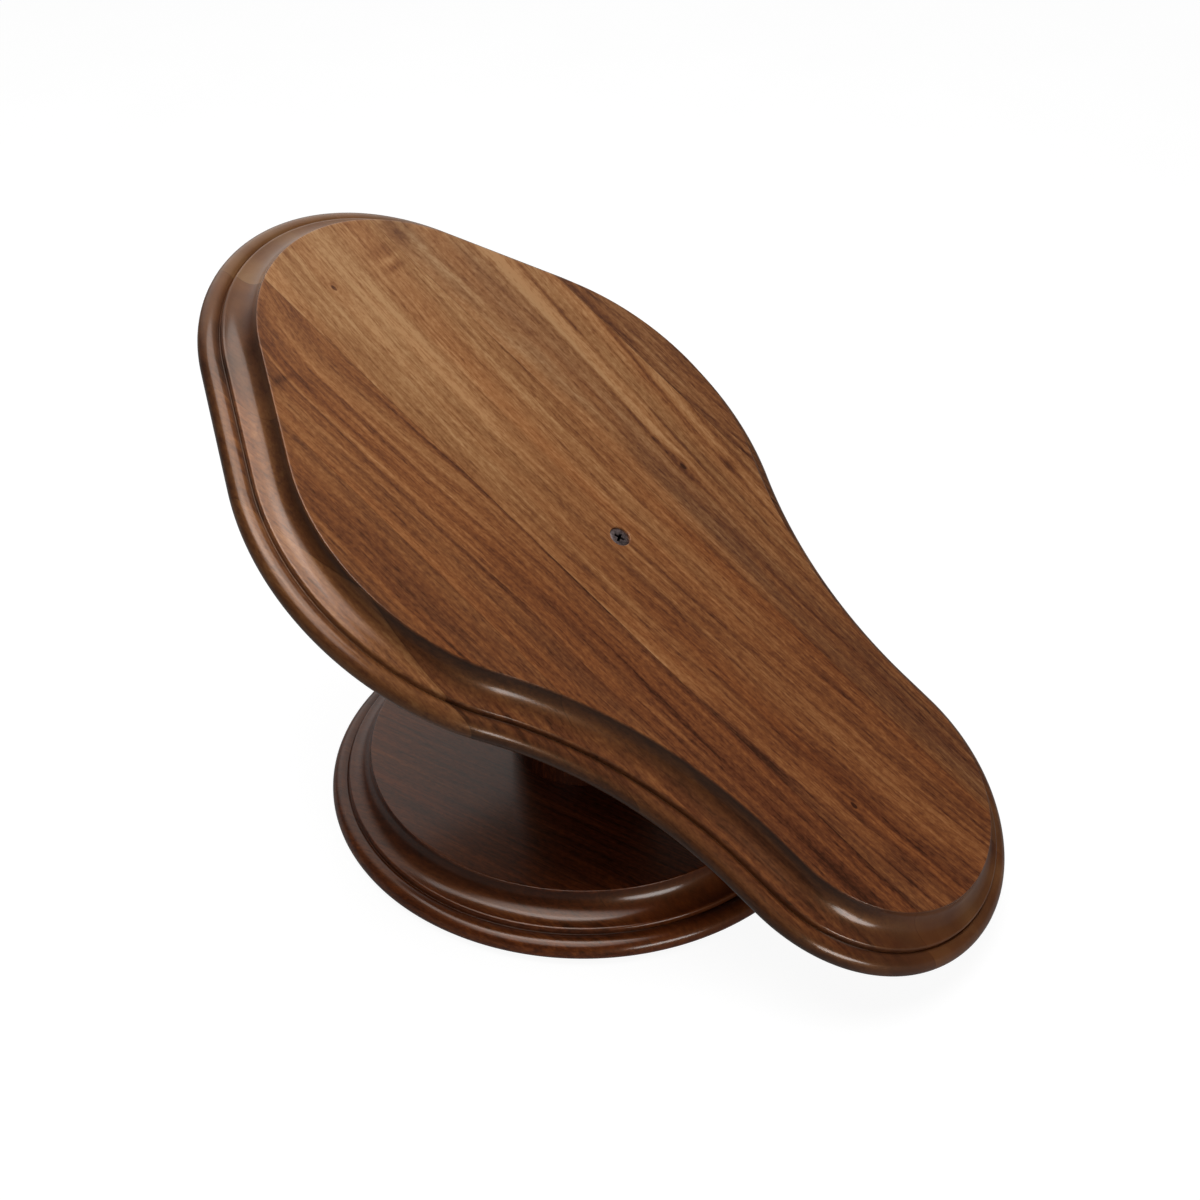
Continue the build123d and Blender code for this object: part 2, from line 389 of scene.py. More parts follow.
def edge_tree():
    """Sweeps the edge's profile round an outline."""
    tree = new_tree("moulded_edge", Outline="Object", Profile="Object", Step="Float", Finish="Material")
    add = tree.nodes.new
    start, end = add("NodeGroupInput"), add("NodeGroupOutput")
    outline, profile = add("GeometryNodeObjectInfo"), add("GeometryNodeObjectInfo")
    spaced = add("GeometryNodeResampleCurve")
    spaced.mode = "LENGTH"
    upright = add("GeometryNodeSetCurveNormal")
    upright.mode = "Z_UP"
    sweep = add("GeometryNodeCurveToMesh")
    real, finish = add("GeometryNodeRealizeInstances"), add("GeometryNodeSetMaterial")
    wire(
        tree,
        (start, "Outline", outline, "Object"),
        (start, "Profile", profile, "Object"),
        (outline, "Geometry", spaced, "Curve"),
        (start, "Step", spaced, "Length"),
        (spaced, "Curve", upright, "Curve"),
        (upright, "Curve", sweep, "Curve"),
        (profile, "Geometry", sweep, "Profile Curve"),
        (sweep, "Mesh", real, "Geometry"),
        (real, "Geometry", finish, "Geometry"),
        (start, "Finish", finish, "Material"),
        (finish, "Geometry", end, "Geometry"),
    )
    return tree


def screw_ring_tree():
    """Stands copies of a screw on a circle."""
    tree = new_tree(
        "base_screw_ring", Screw="Object", Count="Int", Radius="Float", Height="Float", Finish="Material"
    )
    add = tree.nodes.new
    start, end = add("NodeGroupInput"), add("NodeGroupOutput")
    screw, ring = add("GeometryNodeObjectInfo"), add("GeometryNodeMeshCircle")
    lift, raised = add("ShaderNodeCombineXYZ"), add("GeometryNodeSetPosition")
    copies = add("GeometryNodeInstanceOnPoints")
    real, finish = add("GeometryNodeRealizeInstances"), add("GeometryNodeSetMaterial")
    wire(
        tree,
        (start, "Screw", screw, "Object"),
        (start, "Count", ring, "Vertices"),
        (start, "Radius", ring, "Radius"),
        (start, "Height", lift, "Z"),
        (ring, "Mesh", raised, "Geometry"),
        (lift, "Vector", raised, "Offset"),
        (raised, "Geometry", copies, "Points"),
        (screw, "Geometry", copies, "Instance"),
        (copies, "Instances", real, "Geometry"),
        (real, "Geometry", finish, "Geometry"),
        (start, "Finish", finish, "Material"),
        (finish, "Geometry", end, "Geometry"),
    )
    return tree


def grown_mesh(tree, values, name):
    """Plain mesh that a node tree makes from these input values."""
    host = new_object(name + "_host", bpy.data.meshes.new(name + "_host"))
    grower = host.modifiers.new("grow", "NODES")
    grower.node_group = tree
    for socket in tree.interface.items_tree:
        if socket.in_out == "INPUT":
            grower[socket.identifier] = values[socket.name]
    made = host.evaluated_get(bpy.context.evaluated_depsgraph_get())
    mesh = bpy.data.meshes.new_from_object(made)
    bpy.data.objects.remove(host)
    return mesh


def guide_curve(name, points, closed):
    """Curve through plain points in the XY plane."""
    data = bpy.data.curves.new(name, "CURVE")
    data.dimensions = "3D"
    spline = data.splines.new("POLY")
    spline.points.add(len(points) - 1)
    spline.points.foreach_set("co", [c for x, y in points for c in (x, y, 0, 1)])
    spline.use_cyclic_u = closed
    return new_object(name, data)


# Turned and bored solids


def spokes(sides):
    """Unit steps round a circle."""
    return [(cos(2 * pi * i / sides), sin(2 * pi * i / sides)) for i in range(sides)]


def turned_rings(solid, profile, sides):
    """Rings of points round the Z axis, one for each (radius, height)."""
    return [
        [solid.verts.new((radius * x, radius * y, height)) for x, y in spokes(sides)]
        for radius, height in profile
    ]


def looped(ring):
    """Neighbours round a closed ring."""
    return list(zip(ring, ring[1:] + ring[:1]))


def walls(solid, rings):
    """Faces between each ring and the next one."""
    return [
        solid.faces.new((a, c, d, b))
        for upper, lower in zip(rings, rings[1:])
        for (a, b), (c, d) in zip(looped(upper), looped(lower))
    ]


def fan(solid, ring, centre):
    """Faces between a ring and one point."""
    hub = solid.verts.new(centre)
    for a, b in looped(ring):
        solid.faces.new((a, b, hub))


def fill_between(solid, rim, rings):
    """Flat faces between the edges of a rim and the rings that lie in them."""
    edges = [
        solid.edges.get((a, b)) or solid.edges.new((a, b)) for ring in rings for a, b in looped(ring)
    ]
    bmesh.ops.triangle_fill(solid, edges=[*rim, *edges], use_beauty=True)


def outwards_all(solid):
    """Turn every face of a closed solid outwards."""
    bmesh.ops.recalc_face_normals(solid, faces=solid.faces)


def drill(solid, place, bores, sides):
    """Bores holes into a flat face: place has its origin on the face and +Z out of the wood.

    Each bore is ((x, y), [(radius, depth), ...], through), and a through bore ends on the far face.
    """
    solid.normal_update()

    def face_at(depth, outwards):
        point = place @ Vector((0, 0, -depth))
        normal = place.to_3x3() @ Vector((0, 0, outwards))
        level = [
            face for face in solid.faces
            if face.normal.dot(normal) > SAME_WAY and abs((face.verts[0].co - point).dot(normal)) < SAME_LEVEL
        ]
        return max(level, key=lambda face: face.calc_area())

    def open_face(face, rings):
        rim = list(face.edges)
        solid.faces.remove(face)
        fill_between(solid, rim, rings)

    near, far = [], []
    for middle, steps, through in bores:
        rings = [
            [
                solid.verts.new(place @ Vector((middle[0] + radius * x, middle[1] + radius * y, -depth)))
                for x, y in spokes(sides)
            ]
            for radius, depth in steps
        ]
        walls(solid, rings)
        near.append(rings[0])
        if through:
            far.append(rings[-1])
        else:
            solid.faces.new(rings[-1])
    open_face(face_at(0, 1), near)
    if far:
        open_face(face_at(bores[0][1][-1][1], -1), far)
    outwards_all(solid)


# Boards


def cap_holes(board):
    """Closes every open loop of edges with one flat face."""
    open_edges = [edge for edge in board.edges if edge.is_boundary]
    bmesh.ops.edgeloop_fill(board, edges=open_edges)
    board.normal_update()


def moulded_board(outline, edge, low_shade, finish, place):
    """Whole board with a moulded edge, before it is cut into its staves.

    Its points carry the staining and painted shade that they hold, and how far the edge runs across the
    grain.
    """
    rail = guide_curve("board_outline", outline, True)
    section = edge_profile(edge, low_shade)
    profile = guide_curve("edge_profile", [(-inwards, depth) for inwards, depth, _ in section], False)
    values = {"Outline": rail, "Profile": profile, "Step": edge.step, "Finish": finish}
    mesh = grown_mesh(edge_tree(), values, "board")
    for guide in (rail, profile):
        bpy.data.objects.remove(guide)
    board = bmesh.new()
    board.from_mesh(mesh)
    board.verts.index_update()
    bpy.data.meshes.remove(mesh)
    outwards_all(board)
    if not any(face.normal.z > 0.99 for face in board.faces):
        bmesh.ops.reverse_faces(board, faces=board.faces)
    board.transform(place)
    board.normal_update()
    swept = board.faces.layers.int.new("swept")
    smooth = board.verts.layers.float_vector.new("smooth")
    stain = board.verts.layers.float.new("stain")
    crossing = board.verts.layers.float.new("crossing")
    board.verts.ensure_lookup_table()
    grain = place.to_3x3().col[0]
    points = len(section)
    for vert in board.verts:
        spot = vert.index % points
        ring = vert.index - spot
        outwards = (board.verts[ring + points // 2].co - board.verts[ring].co).normalized()
        vert[smooth] = vert.normal
        vert[stain] = section[spot][2]
        vert[crossing] = abs(outwards.dot(grain)) if spot > FLAT_POINTS else 0.0
    for face in board.faces:
        face[swept] = 1
    cap_holes(board)
    return board


def stave_between(board, low, high):
    """Copy of the board between two glue lines."""
    stave = board.copy()
    for height, outwards in ((low, -1), (high, 1)):
        if height is not None:
            everything = [*stave.verts, *stave.edges, *stave.faces]
            bmesh.ops.bisect_plane(
                stave, geom=everything, dist=SAME_POINT, plane_co=(0, height, 0),
                plane_no=(0, outwards, 0), clear_outer=True,
            )
            cap_holes(stave)
    outwards_all(stave)
    return stave


def glue_lines(nodes):
    """Heights of the glue lines between neighbouring staves, with None beyond the ends."""
    boxes = [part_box(node) for node in nodes]
    inner = [(low[1].y + high[0].y) / 2 for low, high in zip(boxes, boxes[1:])]
    return [None, *inner, None]


def cut_staves(board, nodes, finishes, body, bore):
    """Cuts a board along its glue lines into one finished piece for each node, the middle one bored."""
    lines = glue_lines(nodes)
    for node, finish, low, high in zip(nodes, finishes, lines, lines[1:]):
        stave = stave_between(board, low, high)
        if (low is None or low < 0) and (high is None or high > 0):
            bore(stave)
        finished_piece("walnut_" + node, stave, finish, node, body)
    board.free()


def finished_piece(name, solid, finish, node, body):
    """Object made of a solid, standing for one node of the frame."""
    wide = [face for face in solid.faces if len(face.verts) > 4]
    bmesh.ops.triangulate(solid, faces=wide)
    solid.normal_update()
    swept = solid.faces.layers.int.get("swept")
    smooth = solid.verts.layers.float_vector.get("smooth")
    normals = None
    if swept and smooth:
        normals = [
            tuple(loop.vert[smooth].normalized() if face[swept] else face.normal)
            for face in solid.faces for loop in face.loops
        ]
    mesh = mesh_of(solid, name)
    mesh.shade_smooth()
    if normals:
        mesh.normals_split_custom_set(normals)
    else:
        mesh.set_sharp_from_angle(angle=CREASE)
    for layer in ("swept", "smooth"):
        if layer in mesh.attributes:
            mesh.attributes.remove(mesh.attributes[layer])
    return placed_piece(name, mesh, finish, node, body)


def placed_piece(name, mesh, finish, node, body):
    """Object of a finished mesh, riding on its body in place of a node of the frame."""
    mesh.materials.clear()
    mesh.materials.append(finish)
    piece = new_object(name, mesh)
    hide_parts(node)
    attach(piece, body)
    return piece


# Screws


def panel_screw_length(sizes):
    """Length of the screw that the panel turns on, from its head to its point."""
    top = screw_point - facing * sizes.sink
    return (top.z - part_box("panel_screw")[0].z) / facing.z


def screw_spots(sizes):
    """Middles of the screws under the base, seen from below."""
    return [(sizes.circle / 2 * x, -sizes.circle / 2 * y) for x, y in spokes(sizes.count)]


def screw_solid(sizes, total):
    """Countersunk wood screw, top of its head at z = 0, point downwards, with its recess floor marked for
    painted shade.
    """
    head, shank = sizes.head / 2, sizes.shank / 2
    neck = sizes.rim + head - shank
    profile = [
        *((head - out * SOFT_RIM, -down * SOFT_RIM) for out, down in SOFT_STEPS),
        (head, -sizes.rim), (shank, -neck), (shank, sizes.point - total), (TIP_RADIUS, TIP_LENGTH - total),
    ]
    solid = bmesh.new()
    recess = solid.verts.layers.float.new("recess")
    rings = turned_rings(solid, profile, SCREW_SIDES)
    walls(solid, rings)
    fan(solid, rings[-1], (0, 0, -total))

    def cross(span, wing, height):
        a, b = span / 2, wing / 2
        arm = [(a, -b), (a, b), (b, b)]
        corners = []
        for _ in range(4):
            corners += arm
            arm = [(-y, x) for x, y in arm]
        return [solid.verts.new((x, y, height)) for x, y in corners]

    mouth = cross(sizes.recess, sizes.wing, 0)
    floor = cross(sizes.recess * RECESS_FLOOR_SPAN, sizes.wing * RECESS_FLOOR_WING, -sizes.depth)
    for vert in floor:
        vert[recess] = 1.0
    walls(solid, [mouth, floor])
    solid.faces.new(floor)
    fill_between(solid, [], [rings[0], mouth])
    outwards_all(solid)
    return solid


# Finishes


class NodeValue:
    """What a node gives, for plain sums between nodes."""

    def __init__(self, bench, socket):
        self.bench, self.socket = bench, socket

    def __add__(self, other):
        return self.bench.math("ADD", self, other)

    def __sub__(self, other):
        return self.bench.math("SUBTRACT", self, other)

    def __rsub__(self, other):
        return self.bench.math("SUBTRACT", other, self)

    def __mul__(self, other):
        return self.bench.math("MULTIPLY", self, other)

    def __truediv__(self, other):
        return self.bench.math("DIVIDE", self, other)


class NodeBench:
    """Lays out and wires the nodes of one finish, or of the surroundings."""

    def __init__(self, owner):
        owner.use_nodes = True
        self.owner, self.tree = owner, owner.node_tree
        self.tree.nodes.clear()

    def add(self, kind, inputs=(), output=0, **settings):
        """What a new node gives; its inputs are plain or node values, in order or by name."""
        node = self.tree.nodes.new("ShaderNode" + kind)
        for key, value in settings.items():
            setattr(node, key, value)
        for key, value in inputs.items() if isinstance(inputs, dict) else enumerate(inputs):
            if isinstance(value, NodeValue):
                self.tree.links.new(value.socket, node.inputs[key])
            else:
                node.inputs[key].default_value = value
        return NodeValue(self, node.outputs[output])

    def close(self, shader):
        """Material or world that ends in this shader."""
        end = self.tree.nodes.new("ShaderNodeOutput" + type(self.owner).__name__)
        self.tree.links.new(shader.socket, end.inputs[0])
        return self.owner

    def math(self, operation, *values, clamp=False):
        """Result of a Math node."""
        return self.add("Math", values, operation=operation, use_clamp=clamp)

    def object_point(self):
        """Place on the piece, in metres."""
        return self.add("TexCoord", output="Object")

    def attribute(self, name):
        """Number that the points of the piece carry."""
        return self.add("Attribute", output="Fac", attribute_name=name)

    def rays(self, kind):
        """1 for rays of this kind."""
        return self.add("LightPath", output=f"Is {kind} Ray")

    def moved(self, point, step):
        """Point moved by a step."""
        return self.add("VectorMath", (point, step), operation="ADD")

    def oval(self, x, y, reach_x, reach_y):
        """Squared distance from the middle of an oval, 1 on its edge."""
        far_x, far_y = x / reach_x, y / reach_y
        return far_x * far_x + far_y * far_y

    def fade(self, x, y, reach_x, reach_y):
        """1 in the middle of an oval, falling off softly past its edge."""
        return self.math("EXPONENT", self.oval(x, y, reach_x, reach_y) * -1.0)

    def noise(self, point, stretch, detail=2.0, roughness=0.5):
        """Noise whose frequency along each axis is stretch, from 0 to 1."""
        stretched = self.add("VectorMath", (point, stretch), operation="MULTIPLY")
        inputs = {"Vector": stretched, "Scale": 1.0, "Detail": detail, "Roughness": roughness}
        return self.add("TexNoise", inputs, "Fac")

    def swing(self, value, reach):
        """Value from 0 to 1 turned into one from -reach to reach."""
        return self.math("MULTIPLY_ADD", value, 2 * reach, -reach)

    def sway(self, point, stretch, reach, detail=1.0):
        """Noise from -reach to reach."""
        return self.swing(self.noise(point, stretch, detail), reach)

    def smooth(self, value, low, high, bottom=0.0, top=1.0):
        """Smooth step from bottom at low to top at high."""
        return self.add("MapRange", (value, low, high, bottom, top), interpolation_type="SMOOTHSTEP")

    def mix(self, factor, a, b, blend="MIX"):
        """Two colours mixed."""
        return self.add("Mix", {0: factor, 6: a, 7: b}, 2, data_type="RGBA", blend_type=blend)

    def cast(self, base, share, tint):
        """Colour that leans to a tint by a share."""
        return self.mix(share, base, self.mix(1.0, base, tint, "MULTIPLY"))

    def ramp(self, value, stops):
        """Colour ramp through (place, colour) stops."""
        shade = self.add("ValToRGB", [value])
        elements = shade.socket.node.color_ramp.elements
        while len(elements) < len(stops):
            elements.new(0.5)
        for element, (place, tone) in zip(elements, stops):
            element.position = place
            element.color = (*tone, 1)
        return shade

    def finish(self, base, roughness, height, bump_strength, bump_height, **fixed):
        """Material with this colour, roughness and bump, and with these fixed shader sockets."""
        bump = self.add("Bump", {"Strength": bump_strength, "Distance": bump_height, "Height": height})
        inputs = {key.replace("_", " "): value for key, value in fixed.items()}
        inputs.update({"Base Color": base, "Roughness": roughness, "Normal": bump})
        return self.close(self.add("BsdfPrincipled", inputs))


# Noise frequencies along, across and through the grain, per millimetre
WANDER, RIPPLE = (0.005, 0.016, 0.016), (0.03, 0.05, 0.05)
YEAR_DRIFT, YEAR_RUN = (0.006, 0.04, 0.04), (0.009, 1.0, 1.0)
BAND, STREAK, THREAD = (0.0035, 0.055, 0.055), (0.006, 0.2, 0.2), (0.018, 0.44, 0.44)
SPECK, PORE = (0.34, 0.8, 0.8), (0.12, 1.15, 1.15)
BLOTCH, REDNESS, GREYNESS = (0.05, 0.05, 0.05), (0.004, 0.09, 0.09), (0.012, 0.06, 0.06)

# Reach of that noise, in millimetres across the grain, in tone from 0, dark, to 1, pale, and in redness
RIPPLE_REACH, YEAR_REACH = 0.9, 4.5
BAND_REACH, THREAD_REACH, SPECK_REACH, BLOTCH_REACH = 0.2, 0.4, 0.32, 0.35
RED_REACH = 0.7

# Noise frequencies per metre, colours, and strength and height of the bumps of the steel and the felt
STEEL_CLOUD, STEEL_FINE = (900.0, 900.0, 900.0), (5200.0, 5200.0, 1500.0)
STEEL_DARK, STEEL_BRIGHT = (0.11, 0.084, 0.082), (0.31, 0.238, 0.23)
# black painted as shade inside the screws' cross recess
RECESS_SHADE_BLACK = (0.004, 0.003, 0.003, 1)
STEEL_BUMP = (0.15, 0.05 * MM)
FELT_FIBRE, FELT_PATCH = (1400.0, 1400.0, 1400.0), (60.0, 60.0, 60.0)
FELT_DARK, FELT_PALE = (0.018, 0.014, 0.012), (0.085, 0.068, 0.058)
FELT_BUMP = (0.6, 0.5 * MM)

SEED_STEP = (97.0, 41.0, 23.0)       # one seed's step through the noise
YEAR_SEED, YEAR_STEP = 31.7, 83.0    # the same for its years, and one year's step
YEAR_PEAK = (0.5, 0.88, 1.0)         # start, peak and end of a year's dark line
YEAR_POWER, YEAR_FAINT = 1.6, 0.2    # bias of the years to faint ones, and the faintest
RUN_EDGE, RUN_FAINT = (0.3, 0.65), 0.25  # noise between which a line fades, and what is left of it
PORE_EDGE = (0.54, 0.66)             # noise between which a pore opens
KNOT_HALO, KNOT_CORE = (9.0, 3.4), (1.5, 0.8)  # half length and half width of a knot of size 1
KNOT_EDGE = (0.3, 1.4)               # squared distance over which its core ends
KNOT_PART, KNOT_SHADE = 0.75, 0.2    # how far the halo parts the grain and darkens it
PORE_DARK, KNOT_DARK = 0.14, 0.7     # drop in tone
STAIN_SHADE_CALM, END_CALM = 0.4, 0.9      # share of the figure that staining with painted shade, and end grain, hide
FULL_STAIN_SHADE = 0.92                    # darkening by staining and painted shade where the moulding holds the most
UNDERSIDE_LIFT = 0.3                      # rise in tone and roughness on the bare underside; the paler tone is partly painted bounce light
UNDERSIDE_EDGE = (0.05, 0.3)              # heights over the underside between which it ends
BOARD_ENDS = (-190.0, 170.0)         # places along a board between which its tone and redness change
STREAK_FADE = 25.0                   # half the run over which a streak begins or ends
GLUE_HALF, GLUE_SHADE = 0.3, 0.6     # half width of a glue line, and its shade
RED_CAST, GREY_CAST = (1.05, 0.84, 0.72, 1), (0.8, 0.95, 1.2, 1)
GREY_EDGE, GREY_LEAST = (0.35, 0.6), 0.2
WOOD_ROUGH, PORE_ROUGH, BAND_ROUGH, END_ROUGH = 0.36, 0.1, 0.04, 0.2
PORE_DEPTH = 0.8                     # depth of the pores against the swell of the threads
GRAIN_BUMP = (0.06, 0.2 * MM)        # strength and height
LACQUER = dict(Specular_Tint=(1.0, 0.48, 0.18, 1.0), Coat_Weight=1.0, Coat_IOR=1.36)

# What a board is like where it says nothing else
USUAL_BOARD = dict(
    wander=5.0, slope=0.0, bow=0.0, knots=(), streaks=(), blots_and_shade=(), line=0.3, streak=0.3, figure=1.0,
    crossing=(0.35, 0.85), end=0.35, hold=1.0, tint=(1.0, 1.0, 1.0), sheen=0.5, gloss=0.15,
)


def bent_grain(bench, board, along, side, drift):
    """Place across a board, followed along grain that slopes, bows, wanders and parts round pin knots.

    The second result is the darkness of those knots.
    """
    bent = side + (bench.sway(drift, WANDER, board["wander"]) + bench.sway(drift, RIPPLE, RIPPLE_REACH))
    bent = bent + along * board["slope"] + along * along * board["bow"]
    if "fan" in board:
        spread, level = board["fan"]
        bent = bent + along * (side - level) * spread
    if "rise" in board:
        reach, start, end = board["rise"]
        bent = bent + bench.smooth(along, start, end, 0.0, reach)
    knots = 0.0
    for knot_x, knot_y, size in board["knots"]:
        off_x, off_y = along - knot_x, side - knot_y
        halo = bench.fade(off_x, off_y, *(size * reach for reach in KNOT_HALO))
        bent = bent - halo * KNOT_PART * off_y
        core = bench.oval(off_x, off_y, *(size * reach for reach in KNOT_CORE))
        dark = bench.math("MAXIMUM", bench.smooth(core, *KNOT_EDGE, 1.0, 0.0), halo * KNOT_SHADE)
        knots = bench.math("MAXIMUM", knots, dark)
    return bent, knots


def year_lines(bench, board, along, bent, depth, drift):
    """Thin dark line that ends each year's growth, and comes and goes along the board."""
    pith_y, pith_z = board["pith"]
    radius = bench.math("SQRT", bench.oval(bent - pith_y, depth - pith_z, 1.0, 1.0))
    radius = radius + along * board["taper"] + bench.sway(drift, YEAR_DRIFT, YEAR_REACH)
    phase = radius / board["ring"]
    year, within = bench.math("FLOOR", phase), bench.math("FRACT", phase)

    # A few years are strong and most are faint, and each one is fainter in places.
    number = year + YEAR_SEED * board["seed"]
    weather = bench.add("TexWhiteNoise", {"W": number}, "Value", noise_dimensions="1D")
    vigour = bench.math("POWER", weather, YEAR_POWER) * (1.0 - YEAR_FAINT) + YEAR_FAINT
    start, peak, end = YEAR_PEAK
    line = bench.smooth(within, start, peak) * bench.smooth(within, peak, end, 1.0, 0.0)
    run = bench.noise(bench.add("CombineXYZ", (along, year * YEAR_STEP)), YEAR_RUN, detail=1.0)
    return line * vigour * bench.smooth(run, *RUN_EDGE, RUN_FAINT, 1.0)


def streaked(bench, board, along, bent, figure):
    """Figure with the board's own long streaks added."""
    for streak_y, half, start, end, strength in board["streaks"]:
        thick = bench.fade(bent - streak_y, 0.0, half, 1.0)
        begun = bench.smooth(along, start - STREAK_FADE, start + STREAK_FADE)
        ended = bench.smooth(along, end - STREAK_FADE, end + STREAK_FADE, 1.0, 0.0)
        figure = figure + thick * (begun * ended) * strength
    return figure


def blotted(bench, board, along, side, tone):
    """Tone with the board's own dark and pale marks, and painted shadow, added."""
    for blot_x, blot_y, reach_x, reach_y, strength in board["blots_and_shade"]:
        tone = tone + bench.fade(along - blot_x, side - blot_y, reach_x, reach_y) * strength
    return tone


def walnut(name, tones, board, origin, turn):
    """Lacquered walnut of one board, its grain running along X of a frame at origin turned by turn.

    board is a dict, its lengths in millimetres of that frame:
    seed, and glue, the two glue lines it lies between, and under, the height of its underside;
    pith, the middle of its growth rings across and above the face, their width ring and their taper;
    slope, bow, wander, fan (spread, y) and rise (reach, from x, to x), the ways its grain bends;
    tone and red at its two ends; knots as (x, y, size); streaks as (y, half width, from x, to x, tone);
    blots_and_shade as (x, y, reach along, reach across, tone), marks and painted shadow; grey as (y, half
    width, strength);
    line, streak and figure, how strongly its lines, its streaks and its whole figure show;
    crossing, where end grain begins and is full, end, how dark it is, and hold, its share of the staining and
    painted shade;
    tint over all of it, and the sheen and gloss of its lacquer.
    """
    board = {**USUAL_BOARD, **board}
    bench = NodeBench(bpy.data.materials.new(name))
    point = bench.add("Mapping", (bench.object_point(), origin, turn, (MM, MM, MM)), vector_type="TEXTURE")
    parts = bench.add("SeparateXYZ", [point]).socket.node.outputs
    along, side, depth = (NodeValue(bench, part) for part in parts)
    away = tuple(step * board["seed"] for step in SEED_STEP)
    drift = bench.moved(point, away)
    bent, knots = bent_grain(bench, board, along, side, drift)
    fibre = bench.moved(bench.add("CombineXYZ", (along, bent, depth)), away)

    # Bands, streaks and threads of falling width, the lines of the years, and the dashes of the open pores
    band = bench.noise(fibre, BAND)
    streak = bench.noise(fibre, STREAK, detail=3.0, roughness=0.6)
    thread = bench.noise(fibre, THREAD, roughness=0.6)
    speck = bench.noise(fibre, SPECK, roughness=0.6)
    pore = bench.smooth(bench.noise(fibre, PORE, detail=1.0), *PORE_EDGE)
    figure = bench.swing(band, BAND_REACH) + bench.swing(streak, board["streak"])
    figure = figure + bench.swing(thread, THREAD_REACH) + bench.swing(speck, SPECK_REACH)
    figure = streaked(bench, board, along, bent, figure)
    line = year_lines(bench, board, along, bent, depth, drift)
    figure = figure - line * board["line"] - pore * PORE_DARK

    # Staining with painted shade, and end grain, calm the figure on the moulding, where end grain is blotchy
    # instead.
    held = bench.attribute("stain")
    end_grain = bench.smooth(bench.attribute("crossing"), *board["crossing"])
    calm = (1.0 - held * STAIN_SHADE_CALM) * (1.0 - end_grain * END_CALM) * board["figure"]
    tone = bench.smooth(along, *BOARD_ENDS, *board["tone"]) + figure * calm
    tone = tone + bench.sway(drift, BLOTCH, BLOTCH_REACH, detail=2.0) * end_grain
    tone = blotted(bench, board, along, side, tone) - knots * KNOT_DARK
    # The bare underside is rougher and paler; its paler tone is partly painted bounce light from the table.
    underside_lift = 0.0
    if "under" in board:
        underside_lift = bench.smooth(depth, *(board["under"] + edge for edge in UNDERSIDE_EDGE), UNDERSIDE_LIFT, 0.0)

    # Colour of that tone, leaning to red or grey in places
    browns = (tones.vein, tones.heart, tones.body, tones.gold, tones.pale)
    brown = bench.ramp(tone + underside_lift, [(0.25 * place, shade) for place, shade in enumerate(browns)])
    red = bench.smooth(along, *BOARD_ENDS, *board["red"])
    red = bench.math("ADD", red, bench.sway(fibre, REDNESS, RED_REACH), clamp=True)
    brown = bench.cast(brown, red, RED_CAST)
    if "grey" in board:
        grey_y, half, strength = board["grey"]
        patches = bench.smooth(bench.noise(fibre, GREYNESS), *GREY_EDGE, GREY_LEAST, strength)
        brown = bench.cast(brown, bench.fade(bent - grey_y, 0.0, half, 1.0) * patches, GREY_CAST)

    # Glue lines, end grain, and the staining and painted shade that the moulding holds darken the wood.
    hold = FULL_STAIN_SHADE * board["hold"]
    shade = 1.0 - (end_grain * board["end"] + held * (hold - end_grain * hold))
    for glue in board["glue"]:
        if glue is not None:
            gap = bench.math("ABSOLUTE", side - glue)
            shade = shade * bench.smooth(gap, 0.0, GLUE_HALF, GLUE_SHADE, 1.0)
    shades = bench.add("CombineColor", [shade * part for part in board["tint"]])
    brown = bench.mix(1.0, brown, shades, "MULTIPLY")

    roughness = pore * calm * PORE_ROUGH + WOOD_ROUGH + bench.swing(band, BAND_ROUGH)
    roughness = roughness + end_grain * END_ROUGH + underside_lift
    height = (thread - pore * PORE_DEPTH) * calm
    return bench.finish(
        brown, roughness, height, *GRAIN_BUMP, Specular_IOR_Level=board["sheen"],
        Coat_Roughness=board["gloss"], **LACQUER,
    )


def screw_steel():
    """Dark burnished steel with fine turning marks, dull patches and a recess painted black as shade, made
    once.
    """
    name = "burnished_steel"
    if name in bpy.data.materials:
        return bpy.data.materials[name]
    bench = NodeBench(bpy.data.materials.new(name))
    place = bench.object_point()
    cloud = bench.noise(place, STEEL_CLOUD, detail=3.0)
    fine = bench.noise(place, STEEL_FINE)
    steel = bench.ramp(cloud, [(0.3, STEEL_DARK), (0.7, STEEL_BRIGHT)])
    recess_shade = bench.smooth(bench.attribute("recess"), 0.0, 0.5)
    steel = bench.mix(recess_shade, steel, RECESS_SHADE_BLACK)
    return bench.finish(steel, fine * 0.25 + 0.3, fine, *STEEL_BUMP, Metallic=1.0)


def base_felt():
    """Dark brown felt of short matted fibres."""
    bench = NodeBench(bpy.data.materials.new("matted_felt"))
    place = bench.object_point()
    matted = bench.noise(place, FELT_FIBRE, detail=4.0, roughness=0.7)
    patch = bench.noise(place, FELT_PATCH)
    felt = bench.ramp(matted * 0.7 + patch * 0.4, [(0.25, FELT_DARK), (0.8, FELT_PALE)])
    return bench.finish(
        felt, matted * 0.1 + 0.88, matted, *FELT_BUMP, Sheen_Weight=0.4, Sheen_Roughness=0.5
    )


